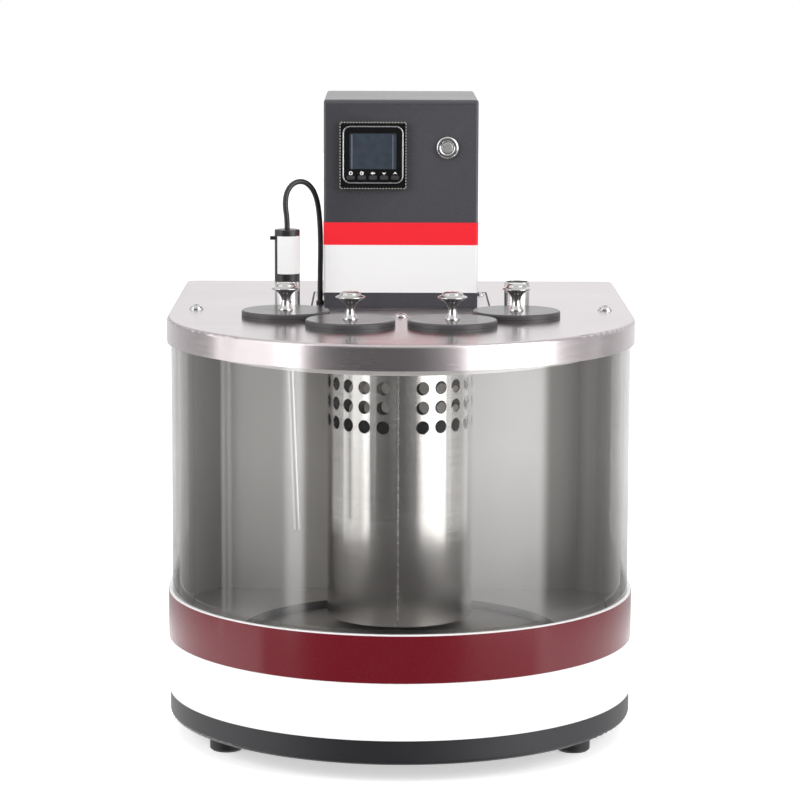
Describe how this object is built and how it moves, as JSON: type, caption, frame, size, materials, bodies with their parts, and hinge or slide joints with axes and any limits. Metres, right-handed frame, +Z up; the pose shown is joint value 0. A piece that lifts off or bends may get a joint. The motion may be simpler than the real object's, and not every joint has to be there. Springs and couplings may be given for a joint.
{
  "type": "kinematic viscosity bath",
  "caption": "D-shaped heated glass tank for capillary viscometers, with covered holes in a steel lid, a stirrer in a guide cylinder and a control tower.",
  "frame": {"origin": "on the surface that the feet stand on, under the middle of the lid", "axes": "+Z up, -Y towards the curved front, +X to the right of someone who faces it"},
  "size_m": [0.336, 0.393, 0.454],
  "materials": {
    "stainless": "fine brushed stainless sheet",
    "polished_steel": "turned and polished",
    "turned_steel": "turned stainless",
    "heater_sheath": "heat-darkened metal sheath",
    "clear_wall": "clear bent sheet",
    "seal_rubber": "matt black rubber",
    "cable_sheath": "smooth black cable sheath",
    "plinth_paint": "satin charcoal powder coat",
    "white_paint": "white powder coat",
    "maroon_film": "glossy dark red film",
    "tower_paint": "satin dark grey powder coat",
    "red_paint": "bright red coat",
    "cover_black": "black laminate, satin top",
    "black_plastic": "fine-grained black moulding",
    "key_rubber": "black rubber keys",
    "screen_glass": "dark display window",
    "motor_paint": "black motor shell",
    "bearing_bronze": "sintered bronze bush"
  },
  "bodies": {
    "root": {"lid": "stainless", "mounting_plate": "stainless", "tank_floor": "stainless", "guide_cylinder": "stainless", "back_panel": "stainless", "rear_casing": "stainless", "knob_left": "polished_steel", "knob_front_left": "polished_steel", "knob_front_right": "polished_steel", "knob_right": "polished_steel", "cover_screws": "turned_steel", "lid_screws": "turned_steel", "rear_panel_screws": "turned_steel", "probe_port": "turned_steel", "thermometer_port": "turned_steel", "probe_rod": "turned_steel", "floor_posts": "turned_steel", "motor_bracket": "turned_steel", "button_ring": "turned_steel", "heater_ring": "heater_sheath", "glass_wall": "clear_wall", "glass_gaskets": "seal_rubber", "seal_strips": "seal_rubber", "foot_front_left": "seal_rubber", "foot_front_right": "seal_rubber", "foot_rear_left": "seal_rubber", "foot_rear_right": "seal_rubber", "cable_grommet": "seal_rubber", "sensor_cable": "cable_sheath", "base_plinth": "plinth_paint", "base_shell": "white_paint", "white_panel": "white_paint", "colour_band": "maroon_film", "control_housing": "tower_paint", "tower_rear_panel": "tower_paint", "red_panel": "red_paint", "cover_left": "cover_black", "cover_front_left": "cover_black", "cover_front_right": "cover_black", "cover_right": "cover_black", "controller_bezel": "black_plastic", "controller_case": "black_plastic", "probe_head": "black_plastic", "fan_frame": "black_plastic", "power_inlet": "black_plastic", "switch_frame": "black_plastic", "controller_screen": "screen_glass", "stirrer_motor": "motor_paint", "shaft_bearing": "bearing_bronze"},
    "stirrer": {"stirrer_shaft": "turned_steel", "shaft_coupling": "turned_steel", "impeller": "turned_steel"},
    "fan": {"fan_rotor": "black_plastic"},
    "rocker": {"power_switch": "black_plastic"},
    "push_button": {"fan_button": "turned_steel"},
    "key_1": {"key_1": "key_rubber"},
    "key_2": {"key_2": "key_rubber"},
    "key_3": {"key_3": "key_rubber"},
    "key_4": {"key_4": "key_rubber"},
    "key_5": {"key_5": "key_rubber"}
  },
  "joints": [
    {"name": "stirrer_spin", "type": "hinge", "parent": "root", "child": "stirrer", "pos_m": [0, 0.057, 0.2], "axis": [0, 0, 1], "continuous": true},
    {"name": "fan_spin", "type": "hinge", "parent": "root", "child": "fan", "pos_m": [0, 0.1457, 0.3985], "axis": [0, 1, 0], "continuous": true},
    {"name": "power_rocker", "type": "hinge", "parent": "root", "child": "rocker", "pos_m": [0.028, 0.1517, 0.3345], "axis": [1, 0, 0], "range_deg": [0, 16]},
    {"name": "fan_button_press", "type": "slide", "parent": "root", "child": "push_button", "axis": [0, 1, 0], "range_m": [0, 0.0012], "stiffness_N_per_m": 300},
    {"name": "key_1_press", "type": "slide", "parent": "root", "child": "key_1", "axis": [0, 1, 0], "range_m": [0, 0.0004], "stiffness_N_per_m": 300},
    {"name": "key_2_press", "type": "slide", "parent": "root", "child": "key_2", "axis": [0, 1, 0], "range_m": [0, 0.0004], "stiffness_N_per_m": 300},
    {"name": "key_3_press", "type": "slide", "parent": "root", "child": "key_3", "axis": [0, 1, 0], "range_m": [0, 0.0004], "stiffness_N_per_m": 300},
    {"name": "key_4_press", "type": "slide", "parent": "root", "child": "key_4", "axis": [0, 1, 0], "range_m": [0, 0.0004], "stiffness_N_per_m": 300},
    {"name": "key_5_press", "type": "slide", "parent": "root", "child": "key_5", "axis": [0, 1, 0], "range_m": [0, 0.0004], "stiffness_N_per_m": 300}
  ]
}
